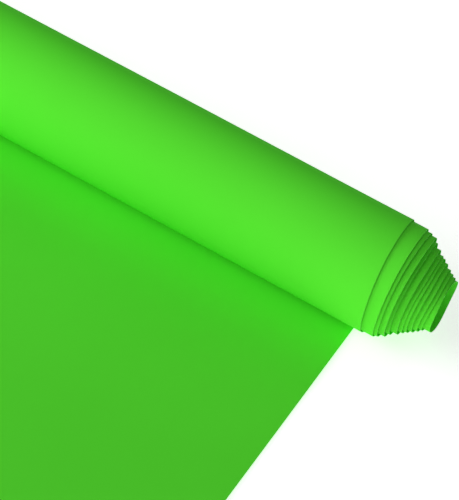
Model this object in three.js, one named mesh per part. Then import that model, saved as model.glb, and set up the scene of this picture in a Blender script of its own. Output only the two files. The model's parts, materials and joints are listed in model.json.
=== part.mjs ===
// A coreless roll of seamless backdrop paper, lying on a floor with its free length pulled out flat.
// The whole object is one long rectangle of paper. It is modelled in short lengths: four for each turn
// of the winding, so that the roll's hollow stays open, and one for each strip of the flat length.
// Millimetres, +Z up. X runs along the roll, the flat length runs towards -Y, the floor is z = 0.
import * as THREE from 'three';

// ---- Driving dimensions ----
const PAPER_WIDTH = 1350; // along the roll
const PAPER_THICKNESS = 0.3;
const ROLL_RADIUS = 45; // outside of the outermost turn, where the paper leaves the floor
const FLAT_LENGTH = 420; // pulled out over the floor
const FLAT_STRIPS = 8;
const JOINT_GAP = 0.3; // clearance between neighbouring lengths of paper
const SEGMENTS_PER_TURN = 48;

// Each turn from the outside in. It leaves the floor side of the winding, climbs the back, passes
// the top and comes down the front. The radius is the outside of the paper at the top. The slips are
// how far its edges have crept along the roll, towards +X, as it leaves the floor and at the top.
const TURNS = [
  { radius: 44.9, slipLow: 0, slipTop: 4.5 },
  { radius: 43.8, slipLow: 10.5, slipTop: 17.1 },
  { radius: 42.4, slipLow: 17.9, slipTop: 20.4 },
  { radius: 40.8, slipLow: 20.9, slipTop: 25.4 },
  { radius: 37.6, slipLow: 24.9, slipTop: 27.4 },
  { radius: 34.5, slipLow: 27.7, slipTop: 32.4 },
  { radius: 31.5, slipLow: 32.2, slipTop: 35.6 },
  { radius: 30, slipLow: 35, slipTop: 37.9 },
  { radius: 27.9, slipLow: 37.9, slipTop: 41 },
  { radius: 25.4, slipLow: 41.1, slipTop: 44.8 },
  { radius: 23.4, slipLow: 44.2, slipTop: 47.8 },
  { radius: 21.6, slipLow: 46.8, slipTop: 50.6 },
  { radius: 20.5, slipLow: 52.8, slipTop: 51.6 },
];
const FIRST_EIGHTH = 1 / 8; // of a turn, off the floor, before the first whole quarter
const QUARTERS_WOUND = 50; // then on to the free edge, which faces up and forwards inside the roll
const QUARTER_NAMES = ['back', 'top', 'front', 'bottom'];
const MAX_SLIP = 52.8; // the furthest that the edges have crept, as the last turn leaves the floor side
const END_SLIP = 50; // where they would be after 13 whole turns

// ---- Material ----
const PAPER_GREEN = 0x41c422;
const PAPER_ROUGHNESS = 0.85;

function paper() {
  return new THREE.MeshStandardMaterial({ color: PAPER_GREEN, roughness: PAPER_ROUGHNESS, metalness: 0 });
}

// ---- The winding ----
// A smooth curve through (turns wound, outside radius, slip), with a point at each half turn.
function windingCurve() {
  const points = [];
  TURNS.forEach((turn, index) => {
    const before = TURNS[index - 1];
    const lowRadius = before ? (before.radius + turn.radius) / 2 : ROLL_RADIUS;
    points.push(new THREE.Vector3(index, lowRadius, turn.slipLow));
    points.push(new THREE.Vector3(index + 0.5, turn.radius, turn.slipTop));
  });
  const last = TURNS.at(-1);
  points.push(new THREE.Vector3(TURNS.length, last.radius, END_SLIP));
  return new THREE.CatmullRomCurve3(points, false, 'catmullrom', 0.5);
}

const WINDING = windingCurve();

function windingAt(turns) {
  const point = WINDING.getPoint(turns / TURNS.length);
  return { radius: point.y, slip: point.z };
}

// A length of paper between two points of the winding: a flat strip, bent along the spiral.
// Its own y runs along the paper and its own z runs inwards, from the outside of the paper.
function woundLength(from, to) {
  const trim = (turns) => JOINT_GAP / 2 / (2 * Math.PI * windingAt(turns).radius);
  const start = from + trim(from);
  const end = to - trim(to);
  const steps = Math.round((to - from) * SEGMENTS_PER_TURN);
  const geometry = new THREE.BoxGeometry(PAPER_WIDTH, 1, PAPER_THICKNESS, 1, steps, 1);
  geometry.translate(-PAPER_WIDTH / 2, 0.5, PAPER_THICKNESS / 2);
  const position = geometry.attributes.position;
  for (let i = 0; i < position.count; i += 1) {
    const turns = THREE.MathUtils.lerp(start, end, position.getY(i));
    const { radius, slip } = windingAt(turns);
    const angle = 2 * Math.PI * turns;
    const reach = radius - position.getZ(i);
    const x = position.getX(i) + slip;
    position.setXYZ(i, x, reach * Math.sin(angle), ROLL_RADIUS - reach * Math.cos(angle));
  }
  geometry.computeVertexNormals();
  return geometry;
}

// ---- The flat length ----
// Strip 1 starts under the roll, where the paper leaves the floor, and the last one ends the paper.
function flatStrip(index) {
  const pitch = FLAT_LENGTH / FLAT_STRIPS;
  const geometry = new THREE.BoxGeometry(PAPER_WIDTH, pitch - JOINT_GAP, PAPER_THICKNESS);
  geometry.translate(-PAPER_WIDTH / 2, -pitch * (index + 0.5), PAPER_THICKNESS / 2);
  return geometry;
}

function stripName(index) {
  if (index === 0) return 'flat_strip_1_at_roll';
  if (index === FLAT_STRIPS - 1) return `flat_strip_${index + 1}_free_edge`;
  return `flat_strip_${index + 1}`;
}

// ---- Assembly ----
const roll = new THREE.Group();
roll.name = 'backdrop_paper_roll';
// The origin is on the floor, in the middle of the whole object's length and depth.
roll.position.set((PAPER_WIDTH - MAX_SLIP) / 2, (FLAT_LENGTH - ROLL_RADIUS) / 2, 0);

function add(name, geometry) {
  const mesh = new THREE.Mesh(geometry, paper());
  mesh.name = name;
  roll.add(mesh);
}

add('turn_start_on_floor', woundLength(0, FIRST_EIGHTH));
for (let quarter = 0; quarter < QUARTERS_WOUND; quarter += 1) {
  const from = FIRST_EIGHTH + quarter / 4;
  const turn = String(Math.floor(quarter / 4) + 1).padStart(2, '0');
  add(`turn_${turn}_${QUARTER_NAMES[quarter % 4]}`, woundLength(from, from + 1 / 4));
}
for (let index = 0; index < FLAT_STRIPS; index += 1) {
  add(stripName(index), flatStrip(index));
}

export default roll;
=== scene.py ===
"""A coreless roll of chroma-green backdrop paper with its free length pulled out flat on a floor.

The object is one sheet of paper. Everything is built from two coordinates of that sheet: how far along
its length a point is, and how far from its right-hand edge. Metres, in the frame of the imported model.
"""
import json
import math

import bpy
import numpy as np
from mathutils import Matrix, Vector


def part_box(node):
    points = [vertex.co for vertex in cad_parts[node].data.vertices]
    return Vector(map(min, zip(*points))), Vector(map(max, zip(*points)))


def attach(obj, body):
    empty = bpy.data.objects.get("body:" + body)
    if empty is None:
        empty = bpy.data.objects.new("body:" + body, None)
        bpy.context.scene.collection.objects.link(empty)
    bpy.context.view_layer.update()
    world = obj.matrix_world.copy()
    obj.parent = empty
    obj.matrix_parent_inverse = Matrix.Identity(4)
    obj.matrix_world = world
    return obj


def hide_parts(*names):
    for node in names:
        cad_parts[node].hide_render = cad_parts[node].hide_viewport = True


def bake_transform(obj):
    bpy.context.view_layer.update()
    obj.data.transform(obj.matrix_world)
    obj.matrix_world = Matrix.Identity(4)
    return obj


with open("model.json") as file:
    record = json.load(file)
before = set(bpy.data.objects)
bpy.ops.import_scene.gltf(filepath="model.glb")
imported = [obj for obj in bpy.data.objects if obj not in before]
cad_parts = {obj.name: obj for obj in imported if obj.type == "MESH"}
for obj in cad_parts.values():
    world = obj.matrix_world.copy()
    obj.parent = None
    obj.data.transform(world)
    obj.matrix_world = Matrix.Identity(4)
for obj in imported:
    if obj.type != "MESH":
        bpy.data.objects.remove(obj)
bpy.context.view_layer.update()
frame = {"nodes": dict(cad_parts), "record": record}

MM = 0.001

# ---- The winding, as in the CAD ----
# Each turn's outside radius at the top, and how far its edges have crept towards +X at the bottom, where
# the turn starts, and at the top. Millimetres.
TURNS = [
    (44.9, 0.0, 4.5),
    (43.8, 10.5, 17.1),
    (42.4, 17.9, 20.4),
    (40.8, 20.9, 25.4),
    (37.6, 24.9, 27.4),
    (34.5, 27.7, 32.4),
    (31.5, 32.2, 35.6),
    (30.0, 35.0, 37.9),
    (27.9, 37.9, 41.0),
    (25.4, 41.1, 44.8),
    (23.4, 44.2, 47.8),
    (21.6, 46.8, 50.6),
    (20.5, 52.8, 51.6),
]
END_SLIP = 50  # millimetres: where the edges would be after 13 whole turns
ROLL_RADIUS = 45 * MM
WINDING_END = 12.625  # turns, at the inner free edge

# ---- Places and sizes from the frame ----
BODIES = frame["record"]["behaviour"]["bodies"]
TURN_BODIES = sorted(body for body in BODIES if body.startswith("roll_turn_"))
STRIP_NODES = sorted(name for name in frame["nodes"] if name.startswith("flat_strip_"))
STRIP_LOW, STRIP_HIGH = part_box(STRIP_NODES[0])
THICKNESS = STRIP_HIGH.z - STRIP_LOW.z
RIGHT_EDGE = STRIP_HIGH.x
PAPER_WIDTH = STRIP_HIGH.x - STRIP_LOW.x
JOINT_GAP = STRIP_LOW.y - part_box(STRIP_NODES[1])[1].y
AXIS_Y = STRIP_HIGH.y + JOINT_GAP / 2  # the roll touches the floor straight under its axis
STRIP_PITCH = STRIP_HIGH.y - STRIP_LOW.y + JOINT_GAP
FLAT_LENGTH = STRIP_PITCH * len(STRIP_NODES)

# ---- Small faults of the wound paper ----
# A wave is waves in a turn, radians that it moves on from turn to turn, and radians that it moves on for
# each metre across the sheet.
EDGE_RIPPLE = 0.22 * MM  # in and out, near the cut edges
EDGE_RIPPLE_WAVE = (3, 1.7, 0)
EDGE_RIPPLE_REACH = 0.02  # from a cut edge, where it has died away to about a third
TIGHT_SHARE = 0.3  # how much of the edge ripple the outermost turn has
LOOSE_AFTER = 4  # turns in, from where the ripple is whole
LONG_RIPPLE = 0.12 * MM  # in and out, over the whole width
LONG_RIPPLE_WAVES = (2, 0, 9), (0, 0.6, 14)
EDGE_WANDER = 0.35 * MM  # along the roll, near the cut edges
EDGE_WANDER_WAVE = (2.3, 4, 0)
EDGE_WANDER_REACH = 0.05  # as above
FLOOR_EASE = 1 / 4  # turns over which the faults grow from none, where the paper leaves the floor

# ---- Small faults of the flat paper ----
FLAT_LIFT = 0.15 * MM
SWELL = 0.9 * MM
SWELL_WAVE = (5.1, 7.3, 0.8)  # radians for each metre along X and along the paper, and at the start
CROSS_WAVE = (-2.1, 8.7)  # the same, for the wave that it is multiplied by
SETTLE_LENGTH = 0.06  # over which the paper settles from the roll
END_CURL = 6 * MM
END_CURL_LENGTH = 0.09

# ---- Grid ----
TURN_STEPS = 96  # grid lines round a full turn
FLAT_STEPS = 16  # grid lines along each strip
EDGE_COLUMNS = [MM * n for n in (0, 0.5, 1.5, 3, 5, 8, 12, 18, 26, 38, 55, 80)]  # from each cut edge
INNER_COLUMNS = 20
LENGTH_SAMPLES = 4001  # for measuring the wound paper
ALONG_STEP, ACROSS_STEP = 1e-4, 1e-5  # for slopes: a share of a piece's length, and metres
SHARP_COSINE = 0.5  # two rim faces meet at a corner where their normals' cosine is below this
FACE_SLOT, RIM_SLOT = 0, 1  # materials of a piece


# ---- The shape of the sheet ----
def catmull_rom(values, at):
    """A smooth curve through values at 0, 1, 2 and so on, as the CAD's winding uses."""
    values = np.asarray(values, float)
    ends = [2 * values[0] - values[1]], values, [2 * values[-1] - values[-2]]
    padded = np.concatenate(ends)
    i = np.clip(np.floor(at).astype(int), 0, len(values) - 2)
    t = at - i
    a, b, c, d = (padded[i + n] for n in range(4))
    return 0.5 * (2 * b + (c - a) * t + (2 * a - 5 * b + 4 * c - d) * t**2 + (3 * b - a - 3 * c + d) * t**3)


def winding_values():
    """Radii and slips at each half turn, in millimetres."""
    radii, slips = [], []
    for index, (radius, slip_low, slip_top) in enumerate(TURNS):
        low_radius = (TURNS[index - 1][0] + radius) / 2 if index else ROLL_RADIUS / MM
        radii += [low_radius, radius]
        slips += [slip_low, slip_top]
    return [*radii, TURNS[-1][0]], [*slips, END_SLIP]


RADII, SLIPS = winding_values()


def radius_at(turns):
    return catmull_rom(RADII, 2 * turns) * MM


def slip_at(turns):
    return catmull_rom(SLIPS, 2 * turns) * MM


def wound_lengths():
    """Places on the winding, and the length of paper from where it leaves the floor to each of them."""
    turns = np.linspace(0, WINDING_END, LENGTH_SAMPLES)
    middles = (turns[1:] + turns[:-1]) / 2
    lengths = np.cumsum(np.diff(turns) * 2 * math.pi * radius_at(middles))
    return turns, np.concatenate([[0], lengths])


LENGTH_TURNS, WOUND_LENGTHS = wound_lengths()


def wound_length_at(turns):
    return np.interp(turns, LENGTH_TURNS, WOUND_LENGTHS)


def wave(turns, across, per_turn, per_turn_shift, per_metre):
    """One of the waves named above, at a point of the wound paper."""
    return np.sin((2 * math.pi * per_turn + per_turn_shift) * turns + per_metre * across)


def wound_point(turns, across):
    """The outside of the paper on the winding. across is the distance from the sheet's right edge."""
    angle = 2 * math.pi * turns
    from_edge = np.minimum(across, PAPER_WIDTH - across)
    off_floor = np.clip(turns / FLOOR_EASE, 0, 1)
    loose = np.clip(turns / LOOSE_AFTER, TIGHT_SHARE, 1.0)
    ripple = EDGE_RIPPLE * loose * np.exp(-from_edge / EDGE_RIPPLE_REACH)
    ripple *= wave(turns, across, *EDGE_RIPPLE_WAVE)
    ripple += LONG_RIPPLE * math.prod(wave(turns, across, *numbers) for numbers in LONG_RIPPLE_WAVES)
    wander = EDGE_WANDER * np.exp(-from_edge / EDGE_WANDER_REACH)
    wander *= wave(turns, across, *EDGE_WANDER_WAVE)
    reach = radius_at(turns) + ripple * off_floor
    x = RIGHT_EDGE - across + slip_at(turns) + wander * off_floor
    return np.stack([x, AXIS_Y + reach * np.sin(angle), ROLL_RADIUS - reach * np.cos(angle)], -1)


def flat_point(along, across):
    """The underside of the pulled-out paper. along is the distance from under the roll, towards -Y."""
    x = RIGHT_EDGE - across
    settle = np.clip(along / SETTLE_LENGTH, 0, 1) ** 2
    by_x, by_along, start = SWELL_WAVE
    cross_by_x, cross_by_along = CROSS_WAVE
    slanting = np.sin(by_x * x + by_along * along + start)
    swell = 0.5 + 0.5 * slanting * np.cos(cross_by_x * x + cross_by_along * along)
    from_curl = along - (FLAT_LENGTH - END_CURL_LENGTH)
    end_curl = END_CURL * np.clip(from_curl / END_CURL_LENGTH, 0, 1) ** 2
    z = settle * (FLAT_LIFT + SWELL * swell) + end_curl
    return np.stack([x, AXIS_Y - along, z], -1)


# ---- A closed piece of the sheet ----
def columns():
    """Distances from the right edge of the grid's lines, closer together near the two cut edges."""
    band = EDGE_COLUMNS[-1]
    inner = np.linspace(band, PAPER_WIDTH - band, INNER_COLUMNS + 2)[1:-1]
    return np.array([*EDGE_COLUMNS, *inner, *(PAPER_WIDTH - n for n in reversed(EDGE_COLUMNS))])


def grid_quads(rows, cols):
    for r in range(rows - 1):
        for c in range(cols - 1):
            a, b = r * cols + c, (r + 1) * cols + c
            yield [a, b, b + 1, a + 1]


def border_edges(rows, cols):
    sides = [
        [r * cols for r in range(rows)],
        [r * cols + cols - 1 for r in reversed(range(rows))],
        [c for c in reversed(range(cols))],
        [(rows - 1) * cols + c for c in range(cols)],
    ]
    for side in sides:
        yield from zip(side, side[1:])


def inside_directions(point, u, v, along_step, inward):
    """Unit vectors from the outside of the paper to its inside."""
    along = point(u + along_step, v) - point(u - along_step, v)
    sideways = point(u, v + ACROSS_STEP) - point(u, v - ACROSS_STEP)
    direction = np.cross(along, sideways)
    direction *= inward / np.linalg.norm(direction, axis=-1, keepdims=True)
    return direction


def mark_rim_sharp(mesh):
    """The cut edges meet the paper's two faces at a sharp corner."""
    faces_at = {}
    for face in mesh.polygons:
        for key in face.edge_keys:
            faces_at.setdefault(key, []).append(face)
    sharp = []
    for edge in mesh.edges:
        pair = faces_at[edge.key]
        rim_faces = sum(face.material_index == RIM_SLOT for face in pair)
        corner = rim_faces == 2 and pair[0].normal.dot(pair[1].normal) < SHARP_COSINE
        sharp.append(rim_faces == 1 or corner)
    mesh.attributes.new("sharp_edge", "BOOLEAN", "EDGE").data.foreach_set("value", sharp)


def sheet_piece(name, point, low, high, steps, length_of, inward):
    """A closed length of paper between low and high of point's first coordinate.

    point gives the outside of the paper; length_of turns the first coordinate into metres of paper for
    the UV map; inward is +1 where the inside of the paper is at the cross product's side."""
    u, v = np.meshgrid(np.linspace(low, high, steps + 1), columns(), indexing="ij")
    outside = point(u, v)
    direction = inside_directions(point, u, v, (high - low) * ALONG_STEP, inward)
    inside = outside + direction * THICKNESS
    vertices = np.concatenate([outside.reshape(-1, 3), inside.reshape(-1, 3)])
    half = u.size
    to_inside = direction.reshape(-1, 3)

    faces, normals, materials = [], [], []

    def quad(corners, corner_normals, material):
        if inward < 0:
            corners, corner_normals = corners[::-1], corner_normals[::-1]
        faces.append(corners)
        normals.extend(corner_normals)
        materials.append(material)

    for loop in grid_quads(*u.shape):
        quad([half + i for i in loop], [to_inside[i] for i in loop], FACE_SLOT)
        quad(loop[::-1], [-to_inside[i] for i in loop[::-1]], FACE_SLOT)
    for i, j in border_edges(*u.shape):
        rim = [i, j, half + j, half + i]
        p = vertices[rim]
        normal = inward * np.cross(p[2] - p[0], p[3] - p[1])
        quad(rim, [normal / np.linalg.norm(normal)] * 4, RIM_SLOT)

    mesh = bpy.data.meshes.new(name)
    mesh.from_pydata([tuple(p) for p in vertices], [], faces)
    mesh.polygons.foreach_set("use_smooth", [True] * len(faces))
    mesh.polygons.foreach_set("material_index", materials)
    mark_rim_sharp(mesh)
    uv_of = np.stack([v.ravel(), length_of(u).ravel()], -1)
    corner_ids = np.array(faces).ravel() % half
    uv_map = mesh.uv_layers.new(name="paper")
    uv_map.data.foreach_set("uv", uv_of[corner_ids].astype(np.float32).ravel())
    for material in (PAPER, CUT_EDGE_PAINTED_LIGHTER):
        mesh.materials.append(material)
    mesh.normals_split_custom_set([tuple(n) for n in normals])
    piece = bpy.data.objects.new(name, mesh)
    bpy.context.scene.collection.objects.link(piece)
    return piece


# ---- Materials ----
CLOUD_SCALE, GRAIN_SCALE, FIBRE_SCALE = 7.0, 900.0, 2600.0
GRAIN_SHARE = 0.35  # of the paper's tone; the clouds have the rest
TONE_RANGE = 0.3, 0.7  # of the mixed noise, from the darkest tone to the lightest
PAPER_ROUGHNESS = 0.72, 0.82
PAPER_SHINE = 0.02
FIBRE_STRENGTH = 0.5


def noise(tree, uv, scale, detail, roughness):
    texture = tree.nodes.new("ShaderNodeTexNoise")
    texture.inputs["Scale"].default_value = scale
    texture.inputs["Detail"].default_value = detail
    texture.inputs["Roughness"].default_value = roughness
    tree.links.new(uv.outputs["UV"], texture.inputs["Vector"])
    return texture.outputs["Fac"]


def mixed(tree, first, second, share):
    """The first value's share, and the rest of the second value."""
    rest = tree.nodes.new("ShaderNodeMath")
    rest.operation = "MULTIPLY"
    rest.inputs[1].default_value = 1 - share
    tree.links.new(second, rest.inputs[0])
    total = tree.nodes.new("ShaderNodeMath")
    total.operation = "MULTIPLY_ADD"
    total.inputs[1].default_value = share
    tree.links.new(first, total.inputs[0])
    tree.links.new(rest.outputs[0], total.inputs[2])
    return total.outputs[0]


def paper_material(name, dark, light, fibre_height):
    """Uncoated dyed paper: faint clouds of tone, a fine fibre grain and hardly any shine."""
    material = bpy.data.materials.new(name)
    material.use_nodes = True
    tree = material.node_tree
    link = tree.links.new
    shader = tree.nodes["Principled BSDF"]
    uv = tree.nodes.new("ShaderNodeUVMap")
    uv.uv_map = "paper"
    clouds = noise(tree, uv, CLOUD_SCALE, detail=3.0, roughness=0.5)
    grain = noise(tree, uv, GRAIN_SCALE, detail=3.0, roughness=0.6)
    fibres = noise(tree, uv, FIBRE_SCALE, detail=2.0, roughness=0.5)
    tone = tree.nodes.new("ShaderNodeValToRGB")
    for stop, position, colour in zip(tone.color_ramp.elements, TONE_RANGE, (dark, light)):
        stop.position = position
        stop.color = (*colour, 1)
    link(mixed(tree, grain, clouds, GRAIN_SHARE), tone.inputs["Fac"])
    link(tone.outputs["Color"], shader.inputs["Base Color"])
    rough = tree.nodes.new("ShaderNodeMapRange")
    rough.inputs["To Min"].default_value, rough.inputs["To Max"].default_value = PAPER_ROUGHNESS
    link(grain, rough.inputs["Value"])
    link(rough.outputs["Result"], shader.inputs["Roughness"])
    bump = tree.nodes.new("ShaderNodeBump")
    bump.inputs["Strength"].default_value = FIBRE_STRENGTH
    bump.inputs["Distance"].default_value = fibre_height
    link(fibres, bump.inputs["Height"])
    link(bump.outputs["Normal"], shader.inputs["Normal"])
    shader.inputs["Specular IOR Level"].default_value = PAPER_SHINE
    return material


PAPER = paper_material(
    "dyed paper", dark=(0.110, 0.84, 0.036), light=(0.118, 0.88, 0.040), fibre_height=0.04 * MM
)
# Painted light: the cut edges are coloured lighter and whiter than the paper. This hides the shade on rims
# turned away from the key light and paints a highlight on them.
CUT_EDGE_PAINTED_LIGHTER = paper_material(
    "cut edge, painted lighter against shade", dark=(0.30, 0.82, 0.22), light=(0.36, 0.88, 0.28), fibre_height=0.08 * MM
)


# ---- The wound turns ----
def wound_piece(name, low, high):
    steps = max(2, math.ceil((high - low) * TURN_STEPS))
    piece = sheet_piece(name, wound_point, low, high, steps, wound_length_at, 1)
    return piece, float(wound_length_at(high) - wound_length_at(low))


def add_turns():
    """Each turn is two pieces. The back half, up from the floor, joins the turn outside to this one."""
    for index, body in enumerate(TURN_BODIES):
        end = min(index + 1, WINDING_END)
        number = f"{index + 1:02d}"
        back, back_length = wound_piece(f"paper_turn_{number}_back", index, index + 0.5)
        front, front_length = wound_piece(f"paper_turn_{number}_front", index + 0.5, end)
        half = len(BODIES[body]) // 2
        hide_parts(*BODIES[body][:half])
        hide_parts(*BODIES[body][half:])
        if index == 0:
            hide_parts("turn_start_on_floor")
        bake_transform(back)
        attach(front, body)


# ---- The flat length ----
def length_along_flat(along):
    """Metres of paper, below 0 because the wound paper counts up from the same place."""
    return -along


def add_flat_sheet():
    """Each piece runs from the middle of one strip to the middle of the next."""
    count = len(STRIP_NODES)
    for index in range(count - 1):
        first, last = index == 0, index == count - 2
        low = 0 if first else (index + 0.5) * STRIP_PITCH
        high = FLAT_LENGTH if last else (index + 1.5) * STRIP_PITCH
        steps = round(FLAT_STEPS * (high - low) / STRIP_PITCH)
        name = f"paper_flat_{index + 1}"
        piece = sheet_piece(name, flat_point, low, high, steps, length_along_flat, -1)
        replaced = STRIP_NODES[index:] if last else [STRIP_NODES[index]]
        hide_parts(*replaced)
        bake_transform(piece)


# ---- Camera ----
CAMERA_AZIMUTH = 16.19  # degrees to the right of straight in front
CAMERA_ELEVATION = 42.29
CAMERA_ROLL = 17.52
CAMERA_DISTANCE = 1.5024
CAMERA_TARGET = Vector((RIGHT_EDGE - 0.1131, AXIS_Y, -0.0071))
LENS_MM = 144.0
SENSOR_MM = 36.0
NEAREST_SEEN, FURTHEST_SEEN = 0.01, 60.0


def direction_of(azimuth, elevation):
    """Towards a place seen from the target, in degrees. Azimuth 0 is in front and 90 is to the right."""
    a, e = math.radians(azimuth), math.radians(elevation)
    return Vector((math.sin(a) * math.cos(e), -math.cos(a) * math.cos(e), math.sin(e)))


def add_camera():
    back = direction_of(CAMERA_AZIMUTH, CAMERA_ELEVATION)
    camera = bpy.data.objects.new("camera", bpy.data.cameras.new("camera"))
    bpy.context.scene.collection.objects.link(camera)
    roll = Matrix.Rotation(math.radians(CAMERA_ROLL), 3, "Z")
    turn = (-back).to_track_quat("-Z", "Y").to_matrix() @ roll
    place = CAMERA_TARGET + back * CAMERA_DISTANCE
    camera.matrix_world = Matrix.LocRotScale(place, turn.to_quaternion(), None)
    camera.data.lens = LENS_MM
    camera.data.sensor_width = SENSOR_MM
    camera.data.clip_start = NEAREST_SEEN
    camera.data.clip_end = FURTHEST_SEEN
    bpy.context.scene.camera = camera


# ---- Floor and light ----
FLOOR_SIZE = 20.0  # from the middle to each side
FLOOR_DROP = 0.5 * MM  # under the paper
FLOOR_GREY = 0.93
FLOOR_ROUGHNESS = 0.9
FLOOR_SHINE = 0.1
FLOOR_GLOW = 0.60
WORLD_STRENGTH = 0.15
# name, azimuth, elevation, distance from the camera's target, width, height, watts
LIGHTS = [
    ("left", -75, 15, 2.4, 1.2, 1.0, 29),
    ("low_left", -70, 6, 5.0, 2.8, 2.2, 95),
    ("front", -40, 14, 5.0, 2.8, 2.2, 42),
    ("high_front", -35, 40, 5.0, 2.8, 2.2, 48),
    ("right", 60, 20, 5.0, 2.8, 2.2, 27),
    ("back", 170, 45, 5.0, 2.8, 2.2, 20),
]


def add_floor():
    """The pale floor of a cut-out product photo. It glows a little, so that it comes out white."""
    mesh = bpy.data.meshes.new("floor")
    signs = (-1, -1), (1, -1), (1, 1), (-1, 1)
    corners = [(sx * FLOOR_SIZE, sy * FLOOR_SIZE, -FLOOR_DROP) for sx, sy in signs]
    mesh.from_pydata(corners, [], [(0, 1, 2, 3)])
    floor = bpy.data.objects.new("floor", mesh)
    bpy.context.scene.collection.objects.link(floor)
    material = bpy.data.materials.new("pale floor")
    material.use_nodes = True
    shader = material.node_tree.nodes["Principled BSDF"]
    shader.inputs["Base Color"].default_value = (FLOOR_GREY, FLOOR_GREY, FLOOR_GREY, 1)
    shader.inputs["Roughness"].default_value = FLOOR_ROUGHNESS
    shader.inputs["Specular IOR Level"].default_value = FLOOR_SHINE
    shader.inputs["Emission Color"].default_value = (1, 1, 1, 1)
    shader.inputs["Emission Strength"].default_value = FLOOR_GLOW
    mesh.materials.append(material)


def add_area_light(name, azimuth, elevation, distance, width, height, power):
    """A soft box that looks at the roll's right end."""
    light = bpy.data.lights.new(name, "AREA")
    light.shape = "RECTANGLE"
    light.size, light.size_y = width, height
    light.energy = power
    lamp = bpy.data.objects.new(name, light)
    bpy.context.scene.collection.objects.link(lamp)
    towards = direction_of(azimuth, elevation)
    lamp.location = CAMERA_TARGET + towards * distance
    lamp.rotation_euler = (-towards).to_track_quat("-Z", "Y").to_euler()
    lamp.visible_camera = False


def add_world():
    world = bpy.data.worlds.new("studio")
    world.use_nodes = True
    background = world.node_tree.nodes["Background"]
    background.inputs["Color"].default_value = (1, 1, 1, 1)
    background.inputs["Strength"].default_value = WORLD_STRENGTH
    bpy.context.scene.world = world


add_turns()
add_flat_sheet()
add_camera()
add_floor()
for light in LIGHTS:
    add_area_light(*light)
add_world()
bpy.context.scene.view_settings.view_transform = "Standard"
